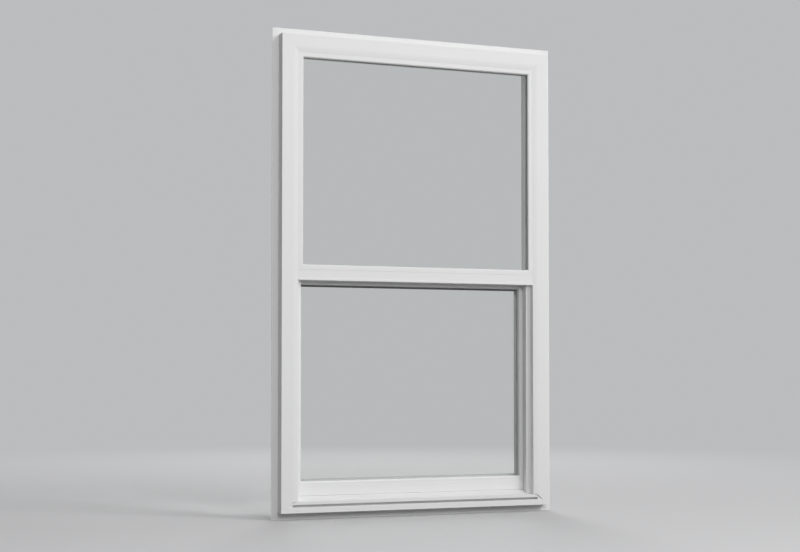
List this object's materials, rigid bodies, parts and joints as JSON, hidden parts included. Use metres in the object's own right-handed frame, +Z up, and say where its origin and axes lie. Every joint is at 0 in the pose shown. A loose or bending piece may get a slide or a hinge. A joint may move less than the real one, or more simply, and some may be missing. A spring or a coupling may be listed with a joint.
{
  "type": "single hung window",
  "caption": "White vinyl single hung window with a fixed upper light, a sliding lower sash, insulated glass and a nailing fin for a framed wall.",
  "frame": {"origin": "middle of the sill fin's back face, the face that lies against the wall", "axes": "+X to the right seen from outdoors, -Y outdoors, +Z up"},
  "size_m": [0.784, 0.0755, 1.2413],
  "materials": {
    "frame_vinyl": "satin white extruded vinyl",
    "sash_vinyl": "satin white extruded vinyl",
    "bead_vinyl": "satin white extruded vinyl",
    "glass": "clear float glass",
    "spacer": "grey warm-edge spacer",
    "weatherstrip": "grey woven pile",
    "lock_metal": "white painted die casting",
    "latch_plastic": "white moulded plastic",
    "balance": "white tube"
  },
  "bodies": {
    "root": {"frame_head": "frame_vinyl", "frame_left_jamb": "frame_vinyl", "frame_right_jamb": "frame_vinyl", "frame_sill": "frame_vinyl", "meeting_rail": "frame_vinyl", "sash_top_rail": "sash_vinyl", "sash_bottom_rail": "sash_vinyl", "sash_left_stile": "sash_vinyl", "sash_right_stile": "sash_vinyl", "upper_bead_head": "bead_vinyl", "upper_bead_left": "bead_vinyl", "upper_bead_right": "bead_vinyl", "upper_bead_rail": "bead_vinyl", "sash_bead_top": "bead_vinyl", "sash_bead_bottom": "bead_vinyl", "sash_bead_left": "bead_vinyl", "sash_bead_right": "bead_vinyl", "upper_glass_outer": "glass", "upper_glass_inner": "glass", "sash_glass_outer": "glass", "sash_glass_inner": "glass", "upper_glass_spacer": "spacer", "sash_glass_spacer": "spacer", "left_weatherstrip": "weatherstrip", "right_weatherstrip": "weatherstrip", "meeting_rail_weatherstrip": "weatherstrip", "lock_base": "lock_metal", "lock_lever": "lock_metal", "lock_keeper": "lock_metal", "left_tilt_latch": "latch_plastic", "right_tilt_latch": "latch_plastic", "left_balance": "balance", "right_balance": "balance"}
  },
  "joints": []
}
